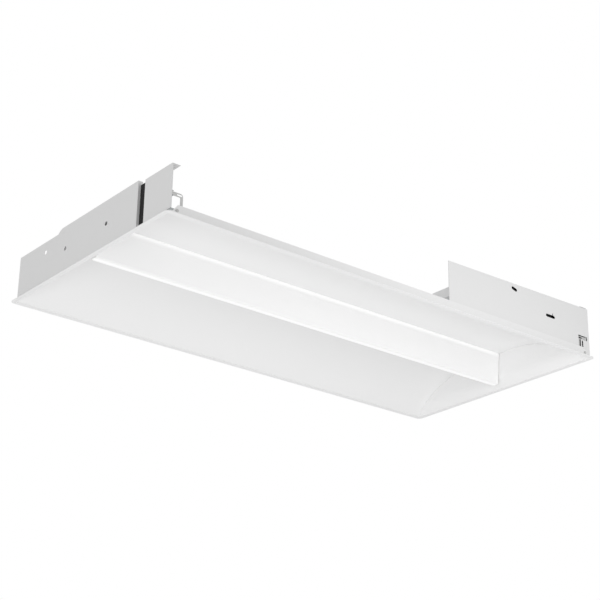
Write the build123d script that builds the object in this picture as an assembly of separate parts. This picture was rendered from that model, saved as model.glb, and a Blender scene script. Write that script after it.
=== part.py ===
"""A recessed 2 by 4 foot troffer light: two arched white wings round one thin hanging lens.

Millimetres. X runs along the light, left to right, Y from its near side to its far side, Z up.
The origin is the middle of the face, on the plane of the ceiling grid that the flanges lie on.
An inset is a distance from the outer edge of the face towards its middle.
"""

import math
import os

from build123d import *

# Face and sheet metal
face_length = 1213.0
face_width = 603.0
corner_radius = 12.0
sheet = 0.8
close_gap = 0.2
moving_gap = 0.3

# Edge rails
flange_width = 10.5
flange_groove_inset = 5.6
flange_groove_width = 0.9
flange_groove_depth = 0.5
upstand_inset = 8.0
upstand_height = 22.0
upstand_hem = 3.0
upstand_end_inset = 14.0
upstand_end_run = 16.0

# Wings
wing_foot_inset = 14.0
wing_lip = 5.0
wing_peak_inset = 250.0
wing_peak_height = 88.0
wing_leg_rise = 5.0

# End walls
wall_inset = 23.9
wall_foot_inset = 11.0
wall_foot_lip = 5.0
wall_side_inset = 16.0
cove_rise = 31.5

# Spine channel and the light engine in it
spine_inner_width = 36.0
spine_foot_drop = 2.0
spine_depth = 26.0
spine_lip_gap = 0.4
spine_tab_height = 10.0
carrier_end_gap = 7.6
carrier_width = 34.0
carrier_plate = 2.0
carrier_depth = 13.2
carrier_lip = 6.0
carrier_screw_count = 4
carrier_screw_margin = 82.6
board_count = 4
board_end_gap = 9.0
board_width = 24.0
board_thickness = 1.6
board_spacing = 4.0
led_count = 20
led_size = 3.0
led_height = 0.8
board_screw_share = 0.35
link_length = 12.0
link_width = 8.0
link_height = 2.0
feed_length = 16.0
feed_width = 12.0
feed_height = 8.0

# Lens
lens_end_gap = 0.6
lens_bottom_height = 8.0
lens_bottom_width = 19.0
lens_top_width = 32.0
lens_wall = 1.6
lens_edge_radius = 2.5
lens_cap = 2.0
spring_count = 5
spring_margin = 102.6
spring_length = 20.0
spring_strip = 0.4
spring_rise = 8.0
spring_drop = 2.0
spring_gap = 0.3
rivet_count = 4
rivet_margin = 42.6
rivet_drop = 5.0

# End plates
plate_inset = 12.0
plate_low_height = 8.5
left_plate_edge_inset = 8.0
left_plate_bend = 3.0
left_plate_height = 114.6
left_plate_low_height = 105.7
left_plate_step_inset = 411.0
left_plate_step_run = 22.0
relief_inset = 450.0
relief_height = 12.5
groove_inset = 126.0
groove_width = 25.0
groove_lap = 24.5
foam_inset = 18.0
foam_low = 16.0
corner_plate_height = 107.0
corner_plate_low_height = 11.0
corner_plate_edge_inset = 7.0
corner_plate_flange = 19.0
edge_return = 2.5
right_plate_height = 126.0
right_plate_flange = 20.0
tie_hole_radius = 4.75
hanger_hole_inset = 482.0
hanger_hole_height = 81.0
brace_hole_insets = (240.0, 399.0)
brace_hole_height = 61.5
knockout_radius = 11.1
knockout_rise = 33.0

# Side panels
panel_inset = 9.8
panel_length = 455.0
panel_end_inset = 8.0
panel_low_height = 118.0
panel_high_height = 124.0
panel_hem = 6.0
panel_tab = 14.0
panel_tab_low = 17.0
panel_tab_high = 37.0
oval_slot_inset = 256.0
oval_slot_height = 107.6
oval_slot_length = 18.0
oval_slot_width = 8.0
oval_slot_tilt = -16.0
bent_slot_inset = 138.5
bent_slot_height = 72.0
bent_slot_length = 30.0
bent_slot_width = 7.5
bent_slot_branch = 5.0
slit_inset = 31.5
slit_height = 30.75
slit_length = 17.5
slit_width = 5.0
panel_rivet_inset = 18.0
panel_rivet_heights = (22.0, 32.0)

# Grid clips
clip_pivot_end_inset = 18.0
clip_pivot_side_inset = 13.5
clip_reach = 26.0
clip_leg_width = 6.0
clip_low = 24.0
clip_arm_low = 42.0
clip_high = 50.0
clip_sheet = 1.2
clip_eye_radius = 2.5
clip_corner_radius = 6.0
clip_slot_length = 13.0
clip_slot_width = 3.6
clip_slot_margin = 1.2
pin_radius = 1.25
pin_head_radius = 2.0
pin_head = 0.8
running_gap = 0.05
ear_thickness = 1.0
window_margin = 1.0

# Corner keys and screws
key_low = 6.0
key_high = 12.3
key_side_length = 34.0
key_end_length = 30.0
corner_screw_inset = 28.0
corner_screw_height = 9.0
screw_radius = 1.7
screw_head_radius = 3.2
screw_head = 1.8

# Driver box, its cover and the wireway
box_length = 361.7
box_width = 90.2
box_floor_height = 60.0
box_height = 56.0
box_lip = 14.0
box_rim = 2.5
box_fixed_top = 21.0
cover_pull = 2.2
knuckle_radius = 2.5
hinge_pin_radius = 1.5
hinge_offsets = (68.0, 268.0)
cover_knuckle = 16.0
box_knuckle = 12.0
cover_screw_offset = 170.0
cover_screw_length = 6.0
wireway_offset = 13.0
wireway_width = 20.0
wireway_head = 7.2

# Driver, wiring
driver_offset = 46.0
driver_length = 250.0
driver_side_gap = 20.0
driver_width = 30.0
driver_height = 21.0
driver_foot = 10.0
driver_foot_thickness = 1.5
terminal_length = 10.0
terminal_width = 20.0
terminal_rise = 5.2
terminal_height = 11.0
connector_length = 20.0
connector_end_gap = 3.7
connector_width = 12.0
connector_height = 9.0
connector_pitch = 14.0
lead_radius = 1.1
lead_bend = 4.0
led_lead_radius = 1.0
led_lead_sag = 1.5
grommet_rise = 6.2
grommet_neck_radius = 4.9
grommet_flange_radius = 6.0
grommet_bore_radius = 4.0
ground_screw_inset = 12.0

# Sizes that follow from these
half_length = face_length / 2
half_width = face_width / 2
hem = 2 * sheet
spine_inner = spine_inner_width / 2
spine_outer = spine_inner + sheet
wall_face = half_length - wall_inset
wall_back = wall_face + sheet
cove_run = wall_inset - wall_foot_inset
cove_radius = (cove_run**2 + cove_rise**2) / (2 * cove_run)
cove_height = hem + cove_rise
plate_face = half_length - plate_inset
plate_back = plate_face - sheet
arch_rise = wing_peak_height - hem
arch_run = wing_peak_inset - wing_foot_inset
arch_radius = (arch_run**2 + arch_rise**2) / (2 * arch_rise)
arch_centre_height = wing_peak_height - arch_radius
spine_foot_height = wing_peak_height - spine_foot_drop
spine_top_height = spine_foot_height + spine_depth
carrier_top = spine_top_height - sheet
carrier_height = carrier_top - carrier_depth
carrier_end = wall_face - carrier_end_gap
board_bottom = carrier_height - board_thickness
board_length = (2 * (carrier_end - board_end_gap) - (board_count - 1) * board_spacing) / board_count
board_screw_reach = board_screw_share * board_length
lens_bottom = lens_bottom_width / 2
lens_top = lens_top_width / 2
lens_top_height = carrier_height - moving_gap
lens_end = wall_face - lens_end_gap
spring_high = carrier_height - spring_drop
spring_low = spring_high - spring_rise
rivet_height = carrier_height - rivet_drop
wing_leg_height = rivet_height + wing_leg_rise
panel_end = half_length - panel_end_inset
panel_start = panel_end - panel_length
box_start = plate_back - box_length
box_side = panel_inset + sheet + close_gap - half_width
box_far_side = box_side + box_width
box_middle = box_side + box_width / 2
box_floor = box_floor_height + sheet
box_top_height = box_floor_height + box_height
knockout_height = box_floor_height + knockout_rise
cover_height = box_top_height + moving_gap
cover_top = cover_height + sheet
cover_screw_place = box_start + cover_screw_offset
hinge_places = [box_start + offset for offset in hinge_offsets]
hinge_side = box_far_side + knuckle_radius + moving_gap
hinge_height = cover_top - knuckle_radius
grommet_place = box_start + wireway_offset
grommet_height = carrier_height + grommet_rise
wireway_low = wing_peak_height + sheet + close_gap
wireway_top = grommet_height + wireway_head
driver_start = box_start + driver_offset
driver_end = driver_start + driver_length
driver_side = box_side + driver_side_gap
driver_middle = driver_side + driver_width / 2
terminal_low = box_floor + terminal_rise
terminal_middle = terminal_low + terminal_height / 2
connector_start = plate_back - connector_end_gap - connector_length
clip_pivot_x = half_length - clip_pivot_end_inset
clip_pivot_y = half_width - clip_pivot_side_inset


def block(x0, x1, y0, y1, z0, z1):
    """A box between two corners."""
    return Pos(x0, y0, z0) * Box(x1 - x0, y1 - y0, z1 - z0, align=(Align.MIN,) * 3)


def along_x(outline, x0, x1):
    """An outline drawn in (y, z), drawn out from x0 to x1."""
    return extrude(Plane((x0, 0, 0), x_dir=(0, 1, 0), z_dir=(1, 0, 0)) * outline, x1 - x0)


def along_y(outline, y0, y1):
    """An outline drawn in (x, z), drawn out from y0 to y1."""
    return extrude(Plane((0, y1, 0), x_dir=(1, 0, 0), z_dir=(0, -1, 0)) * outline, y1 - y0)


def along_z(outline, z0, z1):
    """An outline drawn in (x, y), drawn out from z0 to z1."""
    return extrude(Plane((0, 0, z0)) * outline, z1 - z0)


def polygon(*points):
    return make_face(Polyline(*points, close=True))


def rod_x(radius, y, z, x0, x1):
    return along_x(Pos(y, z) * Circle(radius), x0, x1)


def rod_y(radius, x, z, y0, y1):
    return along_y(Pos(x, z) * Circle(radius), y0, y1)


def rod_z(radius, x, y, z0, z1):
    return along_z(Pos(x, y) * Circle(radius), z0, z1)


def far(piece):
    """The same piece on the other long side."""
    return mirror(piece, about=Plane.XZ)


def left(piece):
    """The same piece at the other end."""
    return mirror(piece, about=Plane.YZ)


def all_corners(piece):
    """One piece of the near right corner, and its copies at the other three."""
    return [left(piece), piece, left(far(piece)), far(piece)]


def near_y(inset):
    return inset - half_width


def face_prism(height):
    """The whole face with its rounded corners, as a solid of this height."""
    return along_z(RectangleRounded(face_length, face_width, corner_radius), 0, height)


def spread(count, reach):
    """Evenly spaced places, from -reach to reach."""
    return [(2 * i / (count - 1) - 1) * reach for i in range(count)]


# Edge rails


def side_rail():
    """The near rail: hemmed flange, upright with a hem at its top, sloped and mitred ends."""
    face = upstand_inset
    section = polygon(
        (near_y(0), 0),
        (near_y(flange_width), 0),
        (near_y(flange_width), hem),
        (near_y(face + sheet), hem),
        (near_y(face + sheet), upstand_height - upstand_hem),
        (near_y(face + hem), upstand_height - upstand_hem),
        (near_y(face + hem), upstand_height),
        (near_y(face), upstand_height),
        (near_y(face), hem),
        (near_y(0), hem),
    )
    plan = polygon(
        (-half_length, near_y(0)),
        (half_length, near_y(0)),
        (half_length - flange_width, near_y(flange_width)),
        (-half_length + flange_width, near_y(flange_width)),
    )
    rail = along_x(section, -half_length, half_length) & along_z(plan, 0, upstand_height)
    rail = rail & face_prism(upstand_height)
    slope = polygon(
        (half_length, hem),
        (half_length - upstand_end_inset, hem),
        (half_length - upstand_end_inset - upstand_end_run, upstand_height),
        (half_length, upstand_height),
    )
    cut = along_y(slope, near_y(0), near_y(face + hem))
    rail = rail - cut - left(cut)
    hole_x = half_length - corner_screw_inset
    hole = rod_y(screw_radius + running_gap, hole_x, corner_screw_height, near_y(0), near_y(face + sheet))
    return rail - hole - left(hole)


def end_rail():
    """The right rail: a hemmed flange, mitred where the side rails meet it, creased below."""
    edge = half_length
    inner = near_y(flange_width)
    plan = polygon((edge, near_y(0)), (edge - flange_width, inner), (edge - flange_width, -inner), (edge, -near_y(0)))
    rail = along_z(plan, 0, hem) & face_prism(hem)
    crease = edge - flange_groove_inset
    return rail - block(crease - flange_groove_width, crease, inner, -inner, 0, flange_groove_depth)


# Wings and end walls


def arch_height(inset, lift=0.0):
    """Height of the arch at an inset: centre + sqrt((R + lift)^2 - (peak - inset)^2)."""
    return arch_centre_height + math.sqrt((arch_radius + lift) ** 2 - (wing_peak_inset - inset) ** 2)


def arch_inset(height, lift=0.0):
    """Inset at which the arch reaches a height, on its outer side."""
    return wing_peak_inset - math.sqrt((arch_radius + lift) ** 2 - (height - arch_centre_height) ** 2)


def wing():
    """The near wing: a lip on the rail, the arch, and a leg against the spine channel."""
    lip_edge = wing_foot_inset - wing_lip
    lip_top = hem + sheet
    leg_inner = half_width - spine_outer
    leg_outer = leg_inner - sheet
    upper_start = arch_inset(lip_top, sheet)
    below = ThreePointArc(
        (near_y(wing_foot_inset), hem),
        (near_y(wing_peak_inset), wing_peak_height),
        (near_y(leg_inner), arch_height(leg_inner)),
    )
    above = ThreePointArc(
        (near_y(leg_outer), arch_height(leg_outer, sheet)),
        (near_y(wing_peak_inset), wing_peak_height + sheet),
        (near_y(upper_start), lip_top),
    )
    leg = Polyline(below @ 1, (near_y(leg_inner), wing_leg_height), (near_y(leg_outer), wing_leg_height), above @ 0)
    lip = Polyline(above @ 1, (near_y(lip_edge), lip_top), (near_y(lip_edge), hem), below @ 0)
    piece = along_x(make_face([below, leg, above, lip]), -half_length, half_length) & wall_space(0)
    for x in rivet_places():
        piece -= rod_y(screw_radius, x, rivet_height, -spine_outer - hem, -spine_inner)
    return piece


def cove_x(height, lift=0.0):
    """Distance along X of the cove's face at a height: centre - sqrt((R - lift)^2 - (centre height - z)^2)."""
    return wall_face + cove_radius - math.sqrt((cove_radius - lift) ** 2 - (cove_height - height) ** 2)


def cove_arc(low, lift=0.0):
    """The cove's curve in (x, z), from a low height up to where it turns upright."""
    middle = (low + cove_height) / 2
    return ThreePointArc((cove_x(low, lift), low), (cove_x(middle, lift), middle), (wall_face + lift, cove_height))


def wall_space(gap):
    """The space between the backs of the two end walls, grown by a gap."""
    arc = cove_arc(hem, sheet + gap)
    rest = Polyline(arc @ 1, (wall_back + gap, right_plate_height), (0, right_plate_height), (0, hem), arc @ 0)
    half = along_y(make_face([arc, rest]), near_y(0), -near_y(0))
    return half + left(half)


def end_wall():
    """The right end wall: upright under both arches, coved out below to a lip on the rail."""
    low_inset = wall_side_inset
    high_inset = half_width - spine_outer
    lift = -close_gap
    near_arc = ThreePointArc(
        (near_y(low_inset), arch_height(low_inset, lift)),
        (near_y(wing_peak_inset), wing_peak_height + lift),
        (near_y(high_inset), arch_height(high_inset, lift)),
    )
    far_arc = ThreePointArc(
        (-near_y(high_inset), arch_height(high_inset, lift)),
        (-near_y(wing_peak_inset), wing_peak_height + lift),
        (-near_y(low_inset), arch_height(low_inset, lift)),
    )
    notch = spine_foot_height - close_gap
    top = Polyline(near_arc @ 1, (near_y(high_inset), notch), (-near_y(high_inset), notch), far_arc @ 0)
    base = Polyline(far_arc @ 1, (-near_y(low_inset), hem), (near_y(low_inset), hem), near_arc @ 0)
    lip_edge = half_length - wall_foot_inset + wall_foot_lip
    outline = along_x(make_face([near_arc, top, far_arc, base]), wall_face, lip_edge)
    face = cove_arc(hem)
    back = cove_arc(hem + sheet, sheet)
    upright = Polyline(face @ 1, (wall_face, wing_peak_height), (wall_back, wing_peak_height), back @ 1)
    lip = Polyline(back @ 0, (lip_edge, hem + sheet), (lip_edge, hem), face @ 0)
    return outline & along_y(make_face([face, upright, back, lip]), near_y(0), -near_y(0))


# Spine channel and light engine


def rivet_places():
    return spread(rivet_count, wall_face - rivet_margin)


def carrier_screw_places():
    return spread(carrier_screw_count, wall_face - carrier_screw_margin)


def spine_channel():
    """The channel over the lens: lips turned in along its feet, and a tab turned across each end."""
    outside = plate_back
    lip = lens_top + spine_lip_gap
    body = block(-outside, outside, -spine_outer, spine_outer, spine_foot_height, spine_top_height)
    body -= block(-outside, outside, -spine_inner, spine_inner, spine_foot_height + sheet, carrier_top)
    body -= block(-outside, outside, -lip, lip, spine_foot_height, spine_foot_height + sheet)
    tab = block(outside - sheet, outside, -spine_inner, spine_inner, carrier_top - spine_tab_height, carrier_top)
    body = body + tab + left(tab)
    for x in carrier_screw_places():
        for side in (-1, 1):
            body -= rod_z(screw_radius, x, side * carrier_screw_side(), carrier_top, spine_top_height)
    for x in rivet_places():
        body -= rod_y(screw_radius, x, rivet_height, -spine_outer, spine_outer)
    return body - rod_y(grommet_neck_radius + running_gap, grommet_place, grommet_height, -spine_outer, -spine_inner)


def carrier_screw_side():
    return carrier_width / 2 - carrier_lip / 2


def led_carrier():
    """An aluminium extrusion: a plate for the boards, two legs and two lips screwed under the channel."""
    half = carrier_width / 2
    end = carrier_end
    top = carrier_top
    plate = block(-end, end, -half, half, carrier_height, carrier_height + carrier_plate)
    leg = block(-end, end, half - carrier_plate, half, carrier_height, top)
    lip = block(-end, end, half - carrier_lip, half, top - carrier_plate, top)
    body = plate + leg + far(leg) + lip + far(lip)
    for x in carrier_screw_places():
        for side in (-1, 1):
            body -= rod_z(screw_radius - running_gap, x, side * carrier_screw_side(), top - carrier_plate, top)
    for x in board_screw_places():
        body -= rod_z(screw_radius - running_gap, x, 0, carrier_height, carrier_height + carrier_plate)
    return body - rod_y(grommet_bore_radius, grommet_place, grommet_height, -half, carrier_plate - half)


def board_places():
    pitch = board_length + board_spacing
    return [(i - (board_count - 1) / 2) * pitch for i in range(board_count)]


def board_screw_places():
    return [x + side * board_screw_reach for x in board_places() for side in (-1, 1)]


def led_board(middle):
    """One board, with its row of light-emitting packages on its lower face."""
    half = board_length / 2
    board = block(middle - half, middle + half, -board_width / 2, board_width / 2, board_bottom, carrier_height)
    pitch = board_length / led_count
    size = led_size / 2
    for i in range(led_count):
        x = middle - half + (i + 0.5) * pitch
        board += block(x - size, x + size, -size, size, board_bottom - led_height, board_bottom)
    for side in (-1, 1):
        board -= rod_z(screw_radius, middle + side * board_screw_reach, 0, board_bottom, carrier_height)
    return board


def board_screws():
    """Screws from below, through each board into the carrier."""
    head_low = board_bottom - screw_head
    screws = []
    for x in board_screw_places():
        head = rod_z(screw_head_radius, x, 0, head_low, board_bottom)
        screws.append(head + rod_z(screw_radius - running_gap, x, 0, board_bottom, carrier_height + carrier_plate))
    return screws


def board_links():
    """Low connectors that bridge from each board to the next."""
    places = board_places()
    middles = [(a + b) / 2 for a, b in zip(places, places[1:])]
    size = link_length / 2
    side = link_width / 2
    return [block(x - size, x + size, -side, side, board_bottom - link_height, board_bottom) for x in middles]


def feed_connector():
    """The connector on the carrier, beside the hole where the leads come in."""
    low = carrier_height + carrier_plate
    size = feed_length / 2
    side = feed_width / 2
    return block(grommet_place - size, grommet_place + size, -side, side, low, low + feed_height)


def carrier_screws():
    """Screws from above, through the channel into the carrier's lips."""
    screws = []
    for x in carrier_screw_places():
        for side in (-1, 1):
            y = side * carrier_screw_side()
            shank = rod_z(screw_radius - running_gap, x, y, carrier_top - carrier_plate, spine_top_height)
            screws.append(shank + rod_z(screw_head_radius, x, y, spine_top_height, spine_top_height + screw_head))
    return screws


def wing_rivets():
    """Rivets through each wing's leg and the side of the channel."""
    rivets = []
    leg = spine_outer + sheet
    for x in rivet_places():
        shank = rod_y(screw_radius - running_gap, x, rivet_height, spine_inner, leg)
        head = rod_y(screw_head_radius - sheet, x, rivet_height, leg, leg + sheet)
        tail = rod_y(screw_head_radius - sheet, x, rivet_height, spine_inner - sheet, spine_inner)
        rivet = shank + head + tail
        rivets += [rivet, far(rivet)]
    return rivets


# Lens


def lens_side(height):
    """Half the lens's outer width at a height, along its straight tapered side."""
    slope = (lens_top - lens_bottom) / (spine_foot_height - lens_bottom_height)
    return lens_bottom + (height - lens_bottom_height) * slope


def lens_outline(wall, radius):
    """The lens's section, inside a wall of this thickness, with rounded lower edges."""
    low = lens_bottom_height + wall
    shape = polygon(
        (-lens_top + wall, lens_top_height),
        (-lens_top + wall, spine_foot_height),
        (-lens_side(low) + wall, low),
        (lens_side(low) - wall, low),
        (lens_top - wall, spine_foot_height),
        (lens_top - wall, lens_top_height),
    )
    return fillet(shape.vertices().sort_by(Axis.Y)[:2], radius)


def lens():
    """A tapered acrylic trough, open above, whose upright edges stand in the channel."""
    end = lens_end - lens_cap
    outer = along_x(lens_outline(0, lens_edge_radius), -end, end)
    return outer - along_x(lens_outline(lens_wall, lens_edge_radius - lens_wall), -end, end)


def lens_end_cap():
    """The right cap: a plate of the lens's section, with a plug that fits inside the trough."""
    face = lens_end - lens_cap
    plate = along_x(lens_outline(0, lens_edge_radius), face, lens_end)
    return plate + along_x(lens_outline(lens_wall + close_gap, lens_edge_radius - lens_wall), face - lens_cap, face)


def lens_springs():
    """Bowed strips on the channel's inner sides, which grip the lens's upright edges."""
    middle = (spring_low + spring_high) / 2
    crest = lens_top + spring_gap
    back = spine_inner - spring_strip
    outer = ThreePointArc((back, spring_high), (crest, middle), (back, spring_low))
    inner = ThreePointArc(
        (back, spring_low + spring_strip), (crest + spring_strip, middle), (back, spring_high - spring_strip)
    )
    bow = make_face([outer, Line(outer @ 1, inner @ 0), inner, Line(inner @ 1, outer @ 0)])
    springs = []
    for x in spread(spring_count, wall_face - spring_margin):
        strip = block(x, x + spring_length, back, spine_inner, spring_low, spring_high)
        spring = Pos(-spring_length / 2, 0, 0) * (strip + along_x(bow, x, x + spring_length))
        springs += [spring, far(spring)]
    return springs


# End plates


def left_end_plate():
    """The stepped plate at the left end, with its rolled far edge and the joggle that makes the groove."""
    face = -plate_face
    back = -plate_back
    near_edge = near_y(groove_inset)
    far_edge = -near_y(left_plate_edge_inset)
    bend = far_edge - left_plate_bend
    step = near_y(left_plate_step_inset)
    relief = near_y(relief_inset)
    drop = left_plate_height - left_plate_low_height
    shoulder = ThreePointArc(
        (step, left_plate_height),
        (step + left_plate_step_run * 0.65, left_plate_height - drop * 0.35),
        (step + left_plate_step_run, left_plate_low_height),
    )
    rest = Polyline(
        shoulder @ 1,
        (bend, left_plate_low_height),
        (bend, relief_height),
        (relief, relief_height),
        (relief, plate_low_height),
        (near_edge, plate_low_height),
        (near_edge, left_plate_height),
        shoulder @ 0,
    )
    plate = along_x(make_face([shoulder, rest]), face, back)
    plate += along_z(rolled_edge(face, far_edge), relief_height, left_plate_low_height)
    web_back = -wall_back - close_gap
    groove_wall = near_edge + sheet
    lap = near_edge - groove_width - groove_lap
    web_top = corner_plate_height - sheet - close_gap
    joggle = block(face, web_back, near_edge, groove_wall, plate_low_height, left_plate_height)
    joggle += block(web_back - sheet, web_back, lap, groove_wall, plate_low_height, web_top)
    plate += joggle - wall_space(close_gap)
    plate += block(back, web_back, near_edge, step, left_plate_height - sheet, left_plate_height)
    for y, z in left_holes():
        plate -= rod_x(tie_hole_radius, y, z, face, back)
    return plate


def rolled_edge(face, edge):
    """The quarter round of a sheet bent back along its far edge, drawn in (x, y)."""
    corner = 1 - math.sqrt(0.5)
    outer_radius = left_plate_bend
    inner_radius = left_plate_bend - sheet
    outer = ThreePointArc(
        (face, edge - outer_radius),
        (face + corner * outer_radius, edge - corner * outer_radius),
        (face + outer_radius, edge),
    )
    inner = ThreePointArc(
        (face + outer_radius, edge - sheet),
        (face + sheet + corner * inner_radius, edge - sheet - corner * inner_radius),
        (face + sheet, edge - outer_radius),
    )
    return make_face([outer, Line(outer @ 1, inner @ 0), inner, Line(inner @ 1, outer @ 0)])


def left_holes():
    """The hanger hole and the brace holes of the left end plate, as (y, z)."""
    holes = [(near_y(hanger_hole_inset), hanger_hole_height)]
    return holes + [(near_y(inset), brace_hole_height) for inset in brace_hole_insets]


def left_corner_plate():
    """The separate plate beside the groove, with a flange turned in along its top."""
    face = -plate_face
    back = -plate_back
    near_edge = near_y(corner_plate_edge_inset)
    far_edge = near_y(groove_inset - groove_width)
    low = corner_plate_low_height
    high = corner_plate_height
    web_face = -wall_back - close_gap - sheet
    plate = block(face, back, near_edge, far_edge, low, high)
    plate += block(face, face + corner_plate_flange, near_edge, far_edge, high - sheet, high)
    plate += block(back, web_face, far_edge - sheet, far_edge, low, high - sheet) - wall_space(close_gap)
    return plate + block(face, face + edge_return, near_edge, near_edge + sheet, low, high)


def groove_foam():
    """The dark foam strip that closes the bottom of the groove against light, shaped over the cove."""
    web_face = -wall_back - close_gap - sheet
    y0 = near_y(groove_inset - groove_width) + close_gap
    y1 = near_y(groove_inset) - close_gap
    top = corner_plate_height - sheet - close_gap
    return block(foam_inset - half_length, web_face, y0, y1, foam_low, top) - wall_space(close_gap)


def right_end_plate():
    """The plate at the right end: the same holes turned about, a knockout, and a flange along its top."""
    side = half_width - panel_inset - sheet - close_gap
    high = right_plate_height
    plate = block(plate_back, plate_face, -side, side, plate_low_height, high)
    plate += block(plate_face - right_plate_flange, plate_face, -side, side, high - sheet, high)
    for y, z in left_holes():
        plate -= rod_x(tie_hole_radius, -y, z, plate_back, plate_face)
    plate -= rod_x(knockout_radius, box_middle, knockout_height, plate_back, plate_face)
    for z in panel_rivet_heights:
        hole = rod_x(screw_radius, near_y(panel_rivet_inset), z, plate_back, plate_face)
        plate = plate - hole - far(hole)
    return plate


# Side panels


def slot(length, width, x, z, tilt=0.0):
    """The outline of a round-ended slot in (x, z), tilted by degrees."""
    return Pos(x, z) * Rot(0, 0, tilt) * SlotOverall(length, width)


def side_panel():
    """The near panel at the right end: sloped top, hemmed edge, slots, clip window and a riveted tab."""
    outer = near_y(panel_inset)
    inner = outer + sheet
    low = hem + sheet
    outline = polygon(
        (panel_start, low),
        (panel_end, low),
        (panel_end, panel_high_height),
        (panel_start, panel_low_height),
    )
    panel = along_y(outline, outer, inner)
    panel += block(panel_start, panel_start + panel_hem, inner, inner + sheet, low, panel_low_height)
    panel += block(plate_back - sheet, plate_back, outer, outer + panel_tab, panel_tab_low, panel_tab_high)
    bent_x = half_length - bent_slot_inset
    branch_z = bent_slot_height + bent_slot_branch / 2
    cuts = [
        slot(oval_slot_length, oval_slot_width, half_length - oval_slot_inset, oval_slot_height, oval_slot_tilt),
        slot(bent_slot_length, bent_slot_width, bent_x, bent_slot_height),
        slot(bent_slot_width + bent_slot_branch, bent_slot_width / 3, bent_x + bent_slot_length / 4, branch_z, 90),
        slot(slit_length, slit_width, half_length - slit_inset, slit_height, 90),
        clip_window(),
    ]
    for cut in cuts:
        panel -= along_y(cut, outer, inner)
    hole = screw_radius + running_gap
    panel -= rod_y(hole, half_length - corner_screw_inset, corner_screw_height, outer, inner)
    for z in panel_rivet_heights:
        panel -= rod_x(screw_radius, near_y(panel_rivet_inset), z, plate_back - sheet, plate_back)
    return panel


def clip_window():
    """An angled opening of the clip's outline, that the clip swings out through."""
    left_edge = clip_pivot_x - clip_reach - window_margin
    right_edge = clip_pivot_x + clip_eye_radius + window_margin
    leg_edge = clip_pivot_x - clip_reach + clip_leg_width + window_margin
    return polygon(
        (left_edge, clip_low - window_margin),
        (leg_edge, clip_low - window_margin),
        (leg_edge, clip_arm_low - window_margin),
        (right_edge, clip_arm_low - window_margin),
        (right_edge, clip_high + window_margin),
        (left_edge, clip_high + window_margin),
    )


def panel_rivets():
    """Rivets through the right end plate and the tabs of the side panels."""
    rivets = []
    tail = plate_back - sheet
    for z in panel_rivet_heights:
        y = near_y(panel_rivet_inset)
        rivet = rod_x(screw_radius - running_gap, y, z, tail, plate_face)
        rivet += rod_x(screw_head_radius, y, z, plate_face, plate_face + screw_head)
        rivet += rod_x(screw_head_radius - sheet, y, z, tail - sheet, tail)
        rivets += [rivet, far(rivet)]
    return rivets


# Grid clips


def grid_clip():
    """The near right clip: an eye on its pin, a slotted arm along the side and a leg hanging from its end."""
    tip = clip_pivot_x - clip_reach
    leg = tip + clip_leg_width
    outline = polygon(
        (tip, clip_low),
        (leg, clip_low),
        (leg, clip_arm_low),
        (clip_pivot_x, clip_arm_low),
        (clip_pivot_x, clip_high),
        (tip, clip_high),
    )
    corner = outline.vertices().filter_by(lambda v: abs(v.X - tip) < 0.01).sort_by(Axis.Y)[-1]
    arm_middle = (clip_arm_low + clip_high) / 2
    opening = slot(clip_slot_length, clip_slot_width, tip + clip_slot_margin + clip_slot_length / 2, arm_middle)
    half = clip_sheet / 2
    blade = along_y(fillet(corner, clip_corner_radius) - opening, -clip_pivot_y - half, -clip_pivot_y + half)
    eye = rod_z(clip_eye_radius, clip_pivot_x, -clip_pivot_y, clip_arm_low, clip_high)
    return blade + eye - rod_z(pin_radius + running_gap, clip_pivot_x, -clip_pivot_y, clip_arm_low, clip_high)


def clip_bracket():
    """Two ears on a web against the end plate, with holes for the clip's pin."""
    x0 = clip_pivot_x - clip_eye_radius
    y0 = -clip_pivot_y - clip_eye_radius
    y1 = -clip_pivot_y + clip_eye_radius + clip_leg_width
    low = clip_arm_low - moving_gap
    high = clip_high + moving_gap
    top = high + ear_thickness
    bottom = low - ear_thickness
    bracket = block(plate_back - ear_thickness, plate_back, -clip_pivot_y, y1, bottom, top)
    bracket += block(x0, plate_back, y0, y1, bottom, low)
    bracket += block(x0, plate_back, y0, y1, high, top)
    return bracket - rod_z(pin_radius + running_gap, clip_pivot_x, -clip_pivot_y, bottom, top)



def clip_pin():
    """A pin with a head at each end, outside the ears."""
    low = clip_arm_low - moving_gap - ear_thickness
    high = clip_high + moving_gap + ear_thickness
    pin = rod_z(pin_radius, clip_pivot_x, -clip_pivot_y, low, high)
    pin += rod_z(pin_head_radius, clip_pivot_x, -clip_pivot_y, low - pin_head, low)
    return pin + rod_z(pin_head_radius, clip_pivot_x, -clip_pivot_y, high, high + pin_head)


# Corner keys and screws


def corner_key(inset):
    """An angle in the near right corner, from this inset behind the rail's upstand to the end plate."""
    y0 = near_y(inset)
    key = block(half_length - key_side_length, plate_back, y0, y0 + sheet, key_low, key_high)
    key += block(plate_back - sheet, plate_back, y0, near_y(key_end_length), key_low, key_high)
    hole = screw_radius + running_gap
    return key - rod_y(hole, half_length - corner_screw_inset, corner_screw_height, y0, y0 + sheet)


def corner_keys():
    """The left keys touch the upstand; the right ones stand behind the side panels."""
    left_key = left(corner_key(upstand_inset + sheet))
    right_key = corner_key(panel_inset + sheet + close_gap)
    return [left_key, right_key, far(left_key), far(right_key)]


def corner_screw():
    x = half_length - corner_screw_inset
    face = near_y(upstand_inset)
    head = rod_y(screw_head_radius, x, corner_screw_height, face - screw_head, face)
    return head + rod_y(screw_radius, x, corner_screw_height, face, near_y(wing_foot_inset))


# Driver box


def knuckle(x0, x1):
    """A rolled barrel with its pin's hole, joined to the sheet beside it."""
    barrel = rod_x(knuckle_radius, hinge_side, hinge_height, x0, x1)
    return barrel, rod_x(hinge_pin_radius + running_gap, hinge_side, hinge_height, x0, x1)


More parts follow.
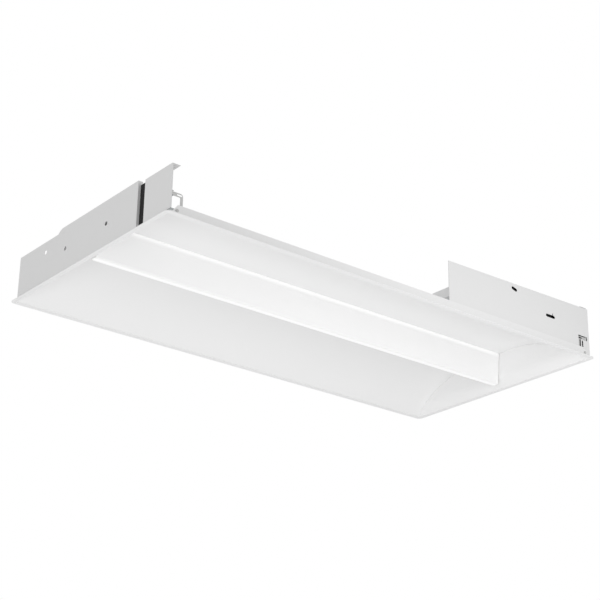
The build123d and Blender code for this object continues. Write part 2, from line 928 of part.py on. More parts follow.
def driver_box():
    """The tray behind the near side panel: floor, three walls, top lip, fixed strip and hinge knuckles."""
    end = plate_back
    low = box_floor_height
    high = box_top_height
    box = block(box_start, end, box_side, box_far_side, low, high)
    box -= block(box_start + sheet, end - sheet, box_side, box_far_side - sheet, low + sheet, high)
    box += block(box_start, end, box_side, box_side + box_lip, high - sheet, high)
    box += block(box_start, end, box_side, box_side + sheet, high - box_rim, high)
    box += block(end - box_fixed_top, end, box_side, box_far_side, high - sheet, high)
    box -= rod_x(knockout_radius, box_middle, knockout_height, end - sheet, end)
    hole = grommet_neck_radius + running_gap
    box -= rod_y(hole, grommet_place, grommet_height, box_far_side - sheet, box_far_side)
    box -= rod_z(2 * screw_radius, cover_screw_place, cover_screw_side(), high - sheet, high)
    for x in driver_screw_places():
        box -= rod_z(screw_radius, x, driver_middle, low, box_floor)
    x, y = ground_screw_place()
    box -= rod_z(screw_radius, x, y, low, box_floor)
    reach = cover_knuckle / 2 + moving_gap
    for x in hinge_places:
        for start in (x - reach - box_knuckle, x + reach):
            barrel, bore = knuckle(start, start + box_knuckle)
            web = block(start, start + box_knuckle, box_far_side, hinge_side, hinge_height - knuckle_radius, hinge_height)
            box = box + barrel + web - bore
    return box


def cover_screw_side():
    return box_side + box_lip / 2


def driver_box_cover():
    """The hinged lid, with a pull edge along its near side and rolled knuckles along its far side."""
    x0 = box_start
    x1 = plate_back - box_fixed_top - moving_gap
    y0 = box_side + moving_gap
    cover = block(x0, x1, y0, box_far_side, cover_height, cover_top)
    cover += block(x0, x1, y0, y0 + sheet, cover_top, cover_top + cover_pull)
    for x in hinge_places:
        barrel, bore = knuckle(x - cover_knuckle / 2, x + cover_knuckle / 2)
        web = block(x - cover_knuckle / 2, x + cover_knuckle / 2, box_far_side, hinge_side, cover_height, cover_top)
        cover = cover + barrel + web - bore
    return cover - rod_z(screw_radius + running_gap, cover_screw_place, cover_screw_side(), cover_height, cover_top)


def wireway():
    """The square duct over the near wing, from the driver box to the spine channel."""
    x0 = grommet_place - wireway_width / 2
    x1 = grommet_place + wireway_width / 2
    y1 = -spine_outer - sheet - close_gap
    duct = block(x0, x1, box_far_side, y1, wireway_low, wireway_top)
    return duct - block(x0 + sheet, x1 - sheet, box_far_side, y1, wireway_low + sheet, wireway_top - sheet)


def hinge_pins():
    pins = []
    reach = cover_knuckle / 2 + moving_gap + box_knuckle
    for x in hinge_places:
        pin = rod_x(hinge_pin_radius, hinge_side, hinge_height, x - reach, x + reach)
        for start in (x - reach - pin_head, x + reach):
            pin += rod_x(hinge_pin_radius + sheet, hinge_side, hinge_height, start, start + pin_head)
        pins.append(pin)
    return pins


def cover_screw():
    """The captive thumb screw of the lid."""
    x = cover_screw_place
    y = cover_screw_side()
    head = rod_z(1.5 * screw_head_radius, x, y, cover_top, cover_top + cover_pull)
    return head + rod_z(screw_radius, x, y, cover_top - cover_screw_length, cover_top)


# Driver and wiring


def driver_screw_places():
    return (driver_start - driver_foot / 2, driver_end + driver_foot / 2)


def driver():
    """The driver's folded case, with a foot at each end."""
    side = driver_side + driver_width
    case = block(driver_start, driver_end, driver_side, side, box_floor, box_floor + driver_height)
    case = fillet(case.edges().filter_by(Axis.X).sort_by(Axis.Z)[-2:], 2 * sheet)
    x0 = driver_start - driver_foot
    x1 = driver_end + driver_foot
    foot_side = driver_middle - terminal_width / 2
    foot = block(x0, x1, foot_side, foot_side + terminal_width, box_floor, box_floor + driver_foot_thickness)
    body = case + foot
    for x in driver_screw_places():
        body -= rod_z(screw_radius, x, driver_middle, box_floor, box_floor + driver_foot_thickness)
    return body


def driver_screws():
    top = box_floor + driver_foot_thickness
    return [
        rod_z(screw_radius - running_gap, x, driver_middle, box_floor_height, top)
        + rod_z(screw_head_radius, x, driver_middle, top, top + screw_head)
        for x in driver_screw_places()
    ]


def terminal(start):
    """A push-in terminal block on one end of the driver."""
    side = driver_middle - terminal_width / 2
    high = terminal_low + terminal_height
    body = block(start, start + terminal_length, side, side + terminal_width, terminal_low, high)
    return fillet(body.edges().filter_by(Axis.Y).sort_by(Axis.Z)[-2:], sheet)


def connector_middles():
    return [driver_middle + i * connector_pitch for i in (-1, 0, 1)]


def wire_connectors():
    """Push-in connectors on the floor of the box, one for each supply wire."""
    pieces = []
    x0 = connector_start
    side = connector_width / 2
    for y in connector_middles():
        body = block(x0, x0 + connector_length, y - side, y + side, box_floor, box_floor + connector_height)
        pieces.append(fillet(body.edges().filter_by(Axis.X).sort_by(Axis.Z)[-2:], hem))
    return pieces


def tube(radius, *points):
    """A lead through points, with its corners rounded."""
    path = FilletPolyline(*points, radius=lead_bend)
    return sweep(Plane(origin=path @ 0, z_dir=path % 0) * Circle(radius), path=path)


def supply_leads():
    """Three leads from the input terminal down to the connectors."""
    start = driver_end + terminal_length
    run = connector_start - start
    low = box_floor + connector_height / 2
    high = terminal_middle
    leads = []
    for i, y1 in enumerate(connector_middles()):
        y0 = driver_middle + (i - 1) * terminal_width / 4
        points = [(start, y0, high), (start + run * 0.3, y0, high), (start + run * 0.7, y1, low)]
        leads.append(tube(lead_radius, *points, (connector_start, y1, low)))
    return leads


def led_leads():
    """Two leads from the output terminal, up and through the wireway, to the feed connector on the carrier."""
    start = driver_start - terminal_length
    end = -feed_width / 2
    leads = []
    for side in (-1, 1):
        x = grommet_place - side * led_lead_radius * 1.4
        y = driver_middle + side * terminal_width / 8
        z = grommet_height + side * led_lead_radius * 1.2
        points = [(start, y, terminal_middle), (x, y, terminal_middle), (x, y, z)]
        points += [(x, (y + end) / 2, z - led_lead_sag), (x, end, z)]
        leads.append(tube(led_lead_radius, *points))
    return leads


def grommets():
    """Rubber bushes at both ends of the wireway, each with its neck in a wall and its flange in the duct."""
    x = grommet_place
    z = grommet_height
    box_bush = rod_y(grommet_neck_radius, x, z, box_far_side - sheet, box_far_side)
    box_bush += rod_y(grommet_flange_radius, x, z, box_far_side, box_far_side + hem)
    spine_bush = rod_y(grommet_neck_radius, x, z, -spine_outer, -spine_inner)
    spine_bush += rod_y(grommet_flange_radius, x, z, -spine_outer - hem, -spine_outer)
    bore = rod_y(grommet_bore_radius, x, z, box_far_side - sheet, -spine_inner)
    return [box_bush - bore, spine_bush - bore]


def ground_screw_place():
    return plate_back - ground_screw_inset, box_far_side - ground_screw_inset


def ground_screw():
    """The hexagonal green screw on the floor of the box."""
    x, y = ground_screw_place()
    head = along_z(Pos(x, y) * RegularPolygon(screw_head_radius * 1.25, 6), box_floor, box_floor + screw_head)
    return head + rod_z(screw_radius - running_gap, x, y, box_floor_height, box_floor)


# All pieces


def build():
    """Every piece of the light, by name."""
    near_wing = wing()
    right_wall = end_wall()
    near_rail = side_rail()
    right_rail = end_rail()
    near_panel = side_panel()
    right_cap = lens_end_cap()
    pieces = {
        "near_rail": near_rail,
        "far_rail": far(near_rail),
        "right_rail": right_rail,
        "left_rail": left(right_rail),
        "near_wing": near_wing,
        "far_wing": far(near_wing),
        "right_end_wall": right_wall,
        "left_end_wall": left(right_wall),
        "left_end_plate": left_end_plate(),
        "left_corner_plate": left_corner_plate(),
        "groove_foam": groove_foam(),
        "right_end_plate": right_end_plate(),
        "near_side_panel": near_panel,
        "far_side_panel": far(near_panel),
        "panel_rivets": panel_rivets(),
        "spine_channel": spine_channel(),
        "led_carrier": led_carrier(),
        "board_screws": board_screws(),
        "board_links": board_links(),
        "feed_connector": feed_connector(),
        "carrier_screws": carrier_screws(),
        "wing_rivets": wing_rivets(),
        "lens": lens(),
        "right_lens_cap": right_cap,
        "left_lens_cap": left(right_cap),
        "lens_springs": lens_springs(),
        "clip_brackets": all_corners(clip_bracket()),
        "clip_pins": all_corners(clip_pin()),
        "corner_keys": corner_keys(),
        "corner_screws": all_corners(corner_screw()),
        "driver_box": driver_box(),
        "driver_box_cover": driver_box_cover(),
        "wireway": wireway(),
        "hinge_pins": hinge_pins(),
        "cover_screw": cover_screw(),
        "driver": driver(),
        "driver_screws": driver_screws(),
        "output_terminal": terminal(driver_start - terminal_length),
        "input_terminal": terminal(driver_end),
        "wire_connectors": wire_connectors(),
        "supply_leads": supply_leads(),
        "led_leads": led_leads(),
        "grommet": grommets(),
        "ground_screw": ground_screw(),
    }
    for number, middle in enumerate(board_places(), start=1):
        pieces[f"led_board_{number}"] = led_board(middle)
    clips = all_corners(grid_clip())
    for name, clip in zip(("near_left", "near_right", "far_left", "far_right"), clips):
        pieces[f"grid_clip_{name}"] = clip
    return pieces


def write(pieces):
    """One file for each node; a node of several pieces holds them as separate solids."""
    os.makedirs("parts", exist_ok=True)
    for name, piece in pieces.items():
        solids = [s for p in (piece if isinstance(piece, list) else [piece]) for s in p.solids()]
        export_step(Compound(children=solids) if len(solids) > 1 else solids[0], f"parts/{name}.step")


write(build())
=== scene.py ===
"""A recessed lay-in ceiling light, 603 by 1213 mm, seen from below and from its left end.

The solids come packed in one frame, in metres: X runs along the light, Y from its near long side to its far
one, Z up, with the room below. This script gives each of them its finish, draws the leads inside, and sets
the view, the surround and the lamps.
"""

import bpy
import numpy as np
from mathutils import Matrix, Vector


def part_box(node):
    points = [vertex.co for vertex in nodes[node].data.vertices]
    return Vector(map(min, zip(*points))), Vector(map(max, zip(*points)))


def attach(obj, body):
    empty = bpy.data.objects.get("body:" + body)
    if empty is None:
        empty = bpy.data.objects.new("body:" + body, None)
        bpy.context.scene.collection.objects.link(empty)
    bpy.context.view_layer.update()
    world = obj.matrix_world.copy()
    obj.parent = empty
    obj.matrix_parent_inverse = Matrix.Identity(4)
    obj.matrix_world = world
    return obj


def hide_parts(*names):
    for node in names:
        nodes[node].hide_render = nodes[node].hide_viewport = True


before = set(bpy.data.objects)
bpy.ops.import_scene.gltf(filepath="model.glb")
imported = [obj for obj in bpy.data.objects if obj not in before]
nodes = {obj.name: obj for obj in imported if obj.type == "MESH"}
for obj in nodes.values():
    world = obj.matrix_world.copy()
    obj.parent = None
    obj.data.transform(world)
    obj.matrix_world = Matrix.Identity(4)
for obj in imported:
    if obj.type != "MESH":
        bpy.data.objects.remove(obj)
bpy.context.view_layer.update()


# The view: from below the light's near left corner, looking up along it.
camera = bpy.data.objects.new("camera", bpy.data.cameras.new("camera"))
bpy.context.scene.collection.objects.link(camera)
camera.location = (-2.05683, -2.52597, -1.29119)
camera.rotation_euler = np.radians((112.77435, -0.80723, -38.93521))
camera.data.lens = 93.196
camera.data.sensor_width = 36.0
bpy.context.scene.camera = camera
bpy.context.scene.view_settings.view_transform = "Standard"


# The leads: stranded copper in soft coloured insulation. Two carry current from the driver's output, up
# through the wireway, to the connector on the board carrier. Three come from its input to the push-in
# connectors where the mains wires arrive. All are held at both ends.
SUPPLY_LEAD = 0.0022
LED_LEAD = 0.0020


def linear(hex_colour):
    """The colour #RRGGBB as linear light: each part c becomes ((c + 0.055) / 1.055) ^ 2.4."""
    parts = np.array([int(hex_colour[i : i + 2], 16) for i in (1, 3, 5)]) / 255
    low = parts / 12.92
    high = ((parts + 0.055) / 1.055) ** 2.4
    return (*np.where(parts <= 0.04045, low, high).tolist(), 1.0)


def add(tree, kind, links=(), **settings):
    """Adds a node to a material's tree, with its inputs set, or linked from another node's output."""
    node = tree.nodes.new(kind)
    for name, value in settings.items():
        setattr(node, name, value)
    for socket, value in links:
        if isinstance(value, bpy.types.NodeSocket):
            tree.links.new(value, node.inputs[socket])
        else:
            node.inputs[socket].default_value = value
    return node


def surface(name, colour, roughness, metallic=0.0):
    """A new material with one plain shader, and the tree, shader and object coordinates to build on."""
    material = bpy.data.materials.new(name)
    material.use_nodes = True
    tree = material.node_tree
    shader = tree.nodes["Principled BSDF"]
    shader.inputs["Base Color"].default_value = linear(colour)
    shader.inputs["Roughness"].default_value = roughness
    shader.inputs["Metallic"].default_value = metallic
    return material, tree, shader, add(tree, "ShaderNodeTexCoord").outputs["Object"]


def insulation(name, colour):
    """Soft insulation: nearly smooth, with faint marks along it about 3 mm long."""
    material, tree, shader, place = surface(name, colour, 0.42)
    marks = add(tree, "ShaderNodeTexNoise", [("Vector", place), ("Scale", 330.0), ("Detail", 3.0)])
    bump = add(tree, "ShaderNodeBump", [("Height", marks.outputs["Fac"]), ("Strength", 0.2), ("Distance", 0.0001)])
    tree.links.new(bump.outputs["Normal"], shader.inputs["Normal"])
    return material


def lead(name, points, diameter, material, node):
    """A lead along its route's points, as one smooth curve that starts and ends on the outer two."""
    curve = bpy.data.curves.new(name, "CURVE")
    curve.dimensions = "3D"
    curve.bevel_depth = diameter / 2
    curve.bevel_resolution = 3
    curve.use_fill_caps = True
    spline = curve.splines.new("NURBS")
    spline.points.add(len(points) - 1)
    for point, place in zip(spline.points, points):
        point.co = (*place, 1.0)
    spline.order_u = 3
    spline.use_endpoint_u = True
    spline.resolution_u = 12
    curve.materials.append(material)
    piece = bpy.data.objects.new(name, curve)
    bpy.context.scene.collection.objects.link(piece)
    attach(piece, "housing")
    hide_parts(node)


lead(
    "led_lead_negative",
    [(0.2680, -0.2582, 0.0715), (0.2464, -0.2582, 0.0715), (0.2464, -0.2582, 0.1030),
     (0.2464, -0.1321, 0.1015), (0.2464, -0.0060, 0.1030)],
    LED_LEAD, insulation("blue_insulation", "#2C4C8C"), "led_leads",
)
lead(
    "led_lead_positive",
    [(0.2680, -0.2532, 0.0715), (0.2436, -0.2532, 0.0715), (0.2436, -0.2532, 0.1054),
     (0.2436, -0.1296, 0.1039), (0.2436, -0.0060, 0.1054)],
    LED_LEAD, insulation("red_insulation", "#A8262B"), "led_leads",
)
lead(
    "supply_lead_live",
    [(0.5380, -0.2607, 0.0715), (0.5476, -0.2607, 0.0715), (0.5604, -0.2697, 0.0653), (0.5700, -0.2697, 0.0653)],
    SUPPLY_LEAD, insulation("black_insulation", "#232325"), "supply_leads",
)
lead(
    "supply_lead_neutral",
    [(0.5380, -0.2557, 0.0715), (0.5476, -0.2557, 0.0715), (0.5604, -0.2557, 0.0653), (0.5700, -0.2557, 0.0653)],
    SUPPLY_LEAD, insulation("white_insulation", "#E4E3DE"), "supply_leads",
)
lead(
    "supply_lead_earth",
    [(0.5380, -0.2507, 0.0715), (0.5476, -0.2507, 0.0715), (0.5604, -0.2417, 0.0653), (0.5700, -0.2417, 0.0653)],
    SUPPLY_LEAD, insulation("green_insulation", "#2F7F4A"), "supply_leads",
)


# The white sheet metal: wings, end walls, edge rails, spine channel and wireway, of 0.8 mm steel, folded, then
# coated with matt white powder that is baked on. The wings are riveted to the channel, and the rails hemmed.
ORANGE_PEEL = 0.0014
SHEET_WAVE = 0.16


def dress(material, *names):
    """These solids take this material, and no other."""
    for name in names:
        nodes[name].data.materials.clear()
        nodes[name].data.materials.append(material)


def powder_coat(name, colour, roughness, tone=0.985, peel=0.00003):
    """Baked powder: an orange-peel skin, over sheet with a slow wave, a slightly uneven tone and gloss."""
    material, tree, shader, place = surface(name, colour, roughness)
    wave = add(tree, "ShaderNodeTexNoise", [("Vector", place), ("Scale", 1 / SHEET_WAVE), ("Detail", 2.0)])
    skin = add(tree, "ShaderNodeTexNoise", [("Vector", place), ("Scale", 1 / ORANGE_PEEL), ("Detail", 2.0)])
    full = linear(colour)
    low = (*[part * tone for part in full[:3]], 1.0)
    mix = add(tree, "ShaderNodeMix", [("Factor", wave.outputs["Fac"]), (6, low), (7, full)], data_type="RGBA")
    tree.links.new(mix.outputs[2], shader.inputs["Base Color"])
    gloss = add(tree, "ShaderNodeMapRange", [
        ("Value", skin.outputs["Fac"]), ("To Min", roughness - 0.04), ("To Max", roughness + 0.06),
    ])
    tree.links.new(gloss.outputs["Result"], shader.inputs["Roughness"])
    slow = add(tree, "ShaderNodeBump", [
        ("Height", wave.outputs["Fac"]), ("Strength", 0.5), ("Distance", 0.0006),
    ])
    fine = add(tree, "ShaderNodeBump", [
        ("Height", skin.outputs["Fac"]), ("Strength", 0.5), ("Distance", peel), ("Normal", slow.outputs["Normal"]),
    ])
    tree.links.new(fine.outputs["Normal"], shader.inputs["Normal"])
    return material


dress(powder_coat("white_powder_coat", "#F4F4F4", 0.5), "near_wing", "far_wing", "spine_channel", "wireway")
dress(powder_coat("white_powder_coat_wall", "#F4F4F4", 0.52), "left_end_wall", "right_end_wall")
dress(powder_coat("white_powder_coat_rail", "#F2F2F2", 0.48), "near_rail", "far_rail", "left_rail", "right_rail")


# The upright plates round the light: end plates, corner plate and side panels, above the ceiling's face and
# not meant to be seen. The same steel, with a thinner coat, riveted and screwed at the corners. The coat's grey
# is painted shade: greyer on the end plates and corner plate, paler on the side panels.
plate_powder_painted_shade = powder_coat("thin_coat_painted_grey_shade", "#E4E4E4", 0.58, tone=0.97)
dress(plate_powder_painted_shade, "left_end_plate", "left_corner_plate", "right_end_plate")
# The side panels' paler grey: less painted shade than on the plates.
panel_powder_painted_shade = powder_coat("thin_coat_painted_paler_shade", "#EDEDED", 0.56, tone=0.975)
dress(panel_powder_painted_shade, "near_side_panel", "far_side_panel")


# The grid clips: flat steel blades with the same coat as the panels, turned out by hand over the grid's tees.
clip_powder = powder_coat("clip_powder_coat", "#CFCFCE", 0.52, peel=0.00004)
dress(clip_powder, "grid_clip_near_left", "grid_clip_near_right", "grid_clip_far_left", "grid_clip_far_right")


# The lens: an extruded trough of white diffusing acrylic, 1.6 mm thick, with a cap glued in each end. No lamp
# lights it. Its glow is painted light: faint all over, with a painted highlight along its upper edges and a painted
# bright strip along the middle of its bottom.
# Heights and strengths of the lens's painted glow, which stands in for light: no lamp is inside it.
PAINTED_GLOW_BOTTOM = 0.0095
PAINTED_GLOW_FOOT = 0.074
PAINTED_GLOW_TOP = 0.087
PAINTED_GLOW_HALF = 0.007
PAINTED_FOOT_GLOW = 0.16


def acrylic_with_painted_glow(name, colour, low, high):
    """White diffusing acrylic: satin, with faint die lines about 1 mm apart.

    Its emission is painted light, because no lamp lights it. The painted glow grows smoothly from low at the foot
    height to high at the top height, as a painted highlight along the upper edges. Along the middle of the bottom
    face a painted bright strip is added, strongest at the centre line and falling straight to nothing a set
    half-width to each side.
    """
    material, tree, shader, place = surface(name, colour, 0.34)
    axes = add(tree, "ShaderNodeSeparateXYZ", [("Vector", place)])
    rise = add(tree, "ShaderNodeMapRange", [
        ("Value", axes.outputs["Z"]), ("From Min", PAINTED_GLOW_FOOT), ("From Max", PAINTED_GLOW_TOP),
        ("To Min", low), ("To Max", high),
    ], interpolation_type="SMOOTHERSTEP")
    face = add(tree, "ShaderNodeMapRange", [
        ("Value", axes.outputs["Z"]), ("From Min", PAINTED_GLOW_BOTTOM), ("From Max", PAINTED_GLOW_BOTTOM + 0.002),
        ("To Min", PAINTED_FOOT_GLOW), ("To Max", 0.0),
    ])
    side = add(tree, "ShaderNodeMath", [(0, axes.outputs["Y"])], operation="ABSOLUTE")
    core = add(tree, "ShaderNodeMapRange", [
        ("Value", side.outputs[0]), ("From Min", 0.001), ("From Max", PAINTED_GLOW_HALF), ("To Min", 1.0), ("To Max", 0.0),
    ])
    painted_glow = add(tree, "ShaderNodeMath", [
        (0, face.outputs["Result"]), (1, core.outputs["Result"]), (2, rise.outputs["Result"]),
    ], operation="MULTIPLY_ADD")
    # The painted glow goes into the emission, though the lens is no lamp.
    tree.links.new(painted_glow.outputs[0], shader.inputs["Emission Strength"])
    shader.inputs["Emission Color"].default_value = linear("#FFFFFE")
    shader.inputs["IOR"].default_value = 1.49
    drawn = add(tree, "ShaderNodeMapping", [("Vector", place), ("Scale", (2.0, 900.0, 900.0))])
    lines = add(tree, "ShaderNodeTexNoise", [("Vector", drawn.outputs["Vector"]), ("Scale", 1.0), ("Detail", 2.0)])
    bump = add(tree, "ShaderNodeBump", [("Height", lines.outputs["Fac"]), ("Strength", 0.25), ("Distance", 0.00003)])
    tree.links.new(bump.outputs["Normal"], shader.inputs["Normal"])
    return material


# The lens and its caps, with painted glow; the caps' glow is faint.
dress(acrylic_with_painted_glow("acrylic_with_painted_glow", "#FAFAFA", 0.03, 0.20), "lens")
dress(acrylic_with_painted_glow("acrylic_cap_with_painted_glow", "#F7F7F6", 0.0, 0.02), "left_lens_cap", "right_lens_cap")


# The hidden structure: driver box, lid, brackets and corner keys, bent from hot-dip galvanised sheet. The zinc
# froze in flat crystals, the spangle, about 9 mm across.
SPANGLE = 0.009


def galvanised(name, colour, roughness):
    """Zinc spangle: each crystal has its own tone, gloss and slight tilt."""
    material, tree, shader, place = surface(name, colour, roughness, 1.0)
    crystal = add(tree, "ShaderNodeTexVoronoi", [("Vector", place), ("Scale", 1 / SPANGLE)])
    grain = add(tree, "ShaderNodeTexNoise", [("Vector", place), ("Scale", 900.0), ("Detail", 4.0)])
    tone = add(tree, "ShaderNodeSeparateColor", [("Color", crystal.outputs["Color"])])
    full = linear(colour)
    low = (*[part * 0.78 for part in full[:3]], 1.0)
    mix = add(tree, "ShaderNodeMix", [("Factor", tone.outputs["Red"]), (6, low), (7, full)], data_type="RGBA")
    tree.links.new(mix.outputs[2], shader.inputs["Base Color"])
    gloss = add(tree, "ShaderNodeMapRange", [
        ("Value", tone.outputs["Green"]), ("To Min", roughness - 0.1), ("To Max", roughness + 0.12),
    ])
    tree.links.new(gloss.outputs["Result"], shader.inputs["Roughness"])
    tilt = add(tree, "ShaderNodeBump", [
        ("Height", tone.outputs["Blue"]), ("Strength", 0.3), ("Distance", 0.00005),
    ])
    skin = add(tree, "ShaderNodeBump", [
        ("Height", grain.outputs["Fac"]), ("Strength", 0.25), ("Distance", 0.00003),
        ("Normal", tilt.outputs["Normal"]),
    ])
    tree.links.new(skin.outputs["Normal"], shader.inputs["Normal"])
    return material


dress(galvanised("spangled_zinc", "#B4B8BB", 0.42), "driver_box", "driver_box_cover")
dress(galvanised("spangled_zinc_small", "#A6A9AA", 0.4), "clip_brackets", "corner_keys")


# Fasteners: screws, pins and rivets of zinc-plated steel, turned and tumbled.
def plated_steel(name, colour, roughness):
    """Plated steel: fine tumbled scratches about 0.5 mm apart, and a cloudy tone."""
    material, tree, shader, place = surface(name, colour, roughness, 1.0)
    cloud = add(tree, "ShaderNodeTexNoise", [("Vector", place), ("Scale", 240.0), ("Detail", 5.0)])
    gloss = add(tree, "ShaderNodeMapRange", [
        ("Value", cloud.outputs["Fac"]), ("To Min", roughness - 0.12), ("To Max", roughness + 0.15),
    ])
    tree.links.new(gloss.outputs["Result"], shader.inputs["Roughness"])
    scratch = add(tree, "ShaderNodeTexNoise", [("Vector", place), ("Scale", 2000.0), ("Detail", 3.0)])
    bump = add(tree, "ShaderNodeBump", [("Height", scratch.outputs["Fac"]), ("Strength", 0.3), ("Distance", 0.00002)])
    tree.links.new(bump.outputs["Normal"], shader.inputs["Normal"])
    return material


bright_zinc = plated_steel("bright_zinc_plate", "#C3C6C8", 0.34)
dress(bright_zinc, "board_screws", "carrier_screws", "wing_rivets", "driver_screws", "cover_screw")
dress(bright_zinc, "hinge_pins", "clip_pins")
dress(powder_coat("coated_screw_heads", "#C6C6C5", 0.45), "corner_screws", "panel_rivets")
dress(plated_steel("blued_spring_steel", "#8E9296", 0.3), "lens_springs")
dress(plated_steel("green_earth_screw", "#2E8B57", 0.38), "ground_screw")


# The board carrier: an aluminium extrusion, left bare, that draws the heat from the boards.
def extruded_aluminium(name, colour):
    """Bare extrusion: die lines along X, about 0.4 mm apart, and a slightly streaked gloss."""
    material, tree, shader, place = surface(name, colour, 0.38, 1.0)
    drawn = add(tree, "ShaderNodeMapping", [("Vector", place), ("Scale", (3.0, 2500.0, 2500.0))])
    lines = add(tree, "ShaderNodeTexNoise", [("Vector", drawn.outputs["Vector"]), ("Scale", 1.0), ("Detail", 4.0)])
    gloss = add(tree, "ShaderNodeMapRange", [("Value", lines.outputs["Fac"]), ("To Min", 0.26), ("To Max", 0.5)])
    tree.links.new(gloss.outputs["Result"], shader.inputs["Roughness"])
    bump = add(tree, "ShaderNodeBump", [("Height", lines.outputs["Fac"]), ("Strength", 0.3), ("Distance", 0.00003)])
    tree.links.new(bump.outputs["Normal"], shader.inputs["Normal"])
    return material


dress(extruded_aluminium("extruded_aluminium", "#C6C9CB"), "led_carrier")


# The boards: white solder mask over aluminium. Below each board hang the light-emitting packages, 3 mm
# square, in a white frame filled with yellow phosphor.
PHOSPHOR_RADIUS = 0.0012
PACKAGES = 20
BOARD_MASK = "#F1F1EC"


def led_board_surface(name):
    """Solder mask above the packages' height, and yellow phosphor in the middle of each package's lower face."""
    material, tree, shader, place = surface(name, BOARD_MASK, 0.45)
    lowest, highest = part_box("led_board_1")
    board_face = lowest.z + 0.0002
    first = lowest.x
    pitch = (highest.x - first) / PACKAGES
    axes = add(tree, "ShaderNodeSeparateXYZ", [("Vector", place)])
    along = add(tree, "ShaderNodeMath", [(0, axes.outputs["X"]), (1, -first)], operation="ADD")
    share = add(tree, "ShaderNodeMath", [(0, along.outputs[0]), (1, pitch)], operation="FLOORED_MODULO")
    off = add(tree, "ShaderNodeMath", [(0, share.outputs[0]), (1, -pitch / 2)], operation="ADD")
    spot = add(tree, "ShaderNodeCombineXYZ", [("X", off.outputs[0]), ("Y", axes.outputs["Y"])])
    reach = add(tree, "ShaderNodeVectorMath", [(0, spot.outputs[0])], operation="LENGTH")
    inside = add(tree, "ShaderNodeMath", [(0, reach.outputs["Value"]), (1, PHOSPHOR_RADIUS)], operation="LESS_THAN")
    low = add(tree, "ShaderNodeMath", [(0, axes.outputs["Z"]), (1, board_face)], operation="LESS_THAN")
    dot = add(tree, "ShaderNodeMath", [(0, inside.outputs[0]), (1, low.outputs[0])], operation="MULTIPLY")
    mix = add(tree, "ShaderNodeMix", [
        ("Factor", dot.outputs[0]), (6, linear(BOARD_MASK)), (7, linear("#E8D24A")),
    ], data_type="RGBA")
    tree.links.new(mix.outputs[2], shader.inputs["Base Color"])
    weave = add(tree, "ShaderNodeTexNoise", [("Vector", place), ("Scale", 1200.0)])
    bump = add(tree, "ShaderNodeBump", [("Height", weave.outputs["Fac"]), ("Strength", 0.2), ("Distance", 0.00002)])
    tree.links.new(bump.outputs["Normal"], shader.inputs["Normal"])
    return material


dress(led_board_surface("white_solder_mask"), "led_board_1", "led_board_2", "led_board_3", "led_board_4")


# Nylon: the links between boards, the feed connector, the driver's terminals and the push-in connectors.
def moulded_nylon(name, colour):
    """Moulded nylon: a little milky, with the fine matt grain of its mould."""
    material, tree, shader, place = surface(name, colour, 0.46)
    shader.inputs["Subsurface Weight"].default_value = 0.15
    shader.inputs["Subsurface Scale"].default_value = 0.002
    grain = add(tree, "ShaderNodeTexNoise", [("Vector", place), ("Scale", 1500.0), ("Detail", 3.0)])
    bump = add(tree, "ShaderNodeBump", [("Height", grain.outputs["Fac"]), ("Strength", 0.3), ("Distance", 0.00003)])
    tree.links.new(bump.outputs["Normal"], shader.inputs["Normal"])
    return material


white_nylon = moulded_nylon("white_nylon", "#E9E7DF")
dress(white_nylon, "board_links", "feed_connector", "output_terminal", "input_terminal")
dress(moulded_nylon("amber_nylon", "#D9A24A"), "wire_connectors")


# The driver: a folded white steel case, screwed to the floor of its box.
dress(powder_coat("driver_case_paint", "#DEE0E1", 0.4), "driver")


# Rubber and foam: the two bushes of the wireway, and the strip that shuts the groove beside the corner plate,
# which is near black and stands in as painted shade in the groove.
def dark_rubber(name, colour, roughness, cell, depth):
    """Dark rubber or foam: soft pits of one cell size."""
    material, tree, shader, place = surface(name, colour, roughness)
    pits = add(tree, "ShaderNodeTexVoronoi", [("Vector", place), ("Scale", 1 / cell)])
    bump = add(tree, "ShaderNodeBump", [("Height", pits.outputs["Distance"]), ("Strength", 0.6), ("Distance", depth)])
    tree.links.new(bump.outputs["Normal"], shader.inputs["Normal"])
    return material


dress(dark_rubber("bush_rubber", "#232325", 0.6, 0.0006, 0.00002), "grommet")
# The groove's black foam is painted shade: a dark piece where the groove is only in shade.
dress(dark_rubber("groove_painted_shade_foam", "#121213", 0.95, 0.0009, 0.0003), "groove_foam")


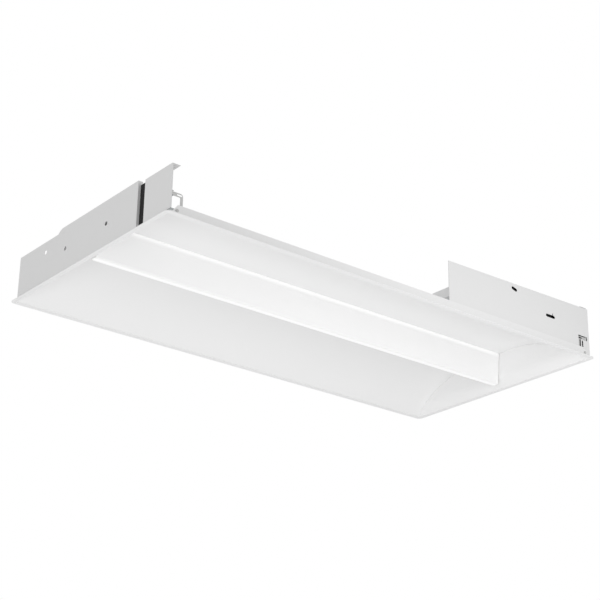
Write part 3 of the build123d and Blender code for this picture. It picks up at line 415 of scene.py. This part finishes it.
# The room: a high hall with a pale floor 4.2 m below the light, and a white surround. What looks at the surround
# sees full white, and what it lights gets less, so that the light's own whites don't clip.
FLOOR_REACH = 6.0
FLOOR_HEIGHT = -4.2
SURROUND_LIGHT = 0.61

floor_mesh = bpy.data.meshes.new("floor")
corners = [(-1, -1), (1, -1), (1, 1), (-1, 1)]
floor_mesh.from_pydata([(FLOOR_REACH * x, FLOOR_REACH * y, FLOOR_HEIGHT) for x, y in corners], [], [(0, 1, 2, 3)])
floor = bpy.data.objects.new("floor", floor_mesh)
bpy.context.scene.collection.objects.link(floor)
floor_mesh.materials.append(surface("pale_floor", "#F2F2F2", 0.9)[0])

world = bpy.data.worlds.new("surround")
bpy.context.scene.world = world
world.use_nodes = True
tree = world.node_tree
tree.nodes.clear()
path = add(tree, "ShaderNodeLightPath")
seen = path.outputs["Is Camera Ray"]
for ray in ("Is Glossy Ray", "Is Transmission Ray"):
    seen = add(tree, "ShaderNodeMath", [(0, seen), (1, path.outputs[ray])], operation="MAXIMUM").outputs[0]
strength = add(tree, "ShaderNodeMapRange", [("Value", seen), ("To Min", SURROUND_LIGHT), ("To Max", 1.0)])
white = add(tree, "ShaderNodeBackground", [("Color", (1, 1, 1, 1)), ("Strength", strength.outputs[0])])
add(tree, "ShaderNodeOutputWorld", [("Surface", white.outputs[0])])


# The lamps: a wide soft one under the light, one above and behind it, one beyond its left end, and one in front
# of its near side.
def lamp(name, place, aim, size, power):
    """A soft square lamp at place, turned to face aim."""
    data = bpy.data.lights.new(name, "AREA")
    data.shape = "SQUARE"
    data.size = size
    data.energy = power
    item = bpy.data.objects.new(name, data)
    bpy.context.scene.collection.objects.link(item)
    item.location = place
    item.rotation_euler = (Vector(aim) - Vector(place)).to_track_quat("-Z", "Y").to_euler()


lamp("lamp_below", (0.2, -0.3, -1.8), (0.2, -0.3, 0.0), 3.0, 9.0)
lamp("lamp_above", (1.4, 1.7, 2.0), (0.0, 0.0, 0.0), 2.0, 34.0)
lamp("lamp_left", (-2.7, -0.5, -1.6), (0.4, 0.0, 0.0), 1.4, 18.0)
lamp("lamp_front", (0.2, -1.15, -0.3), (0.2, -0.3, 0.05), 0.5, 2.9)
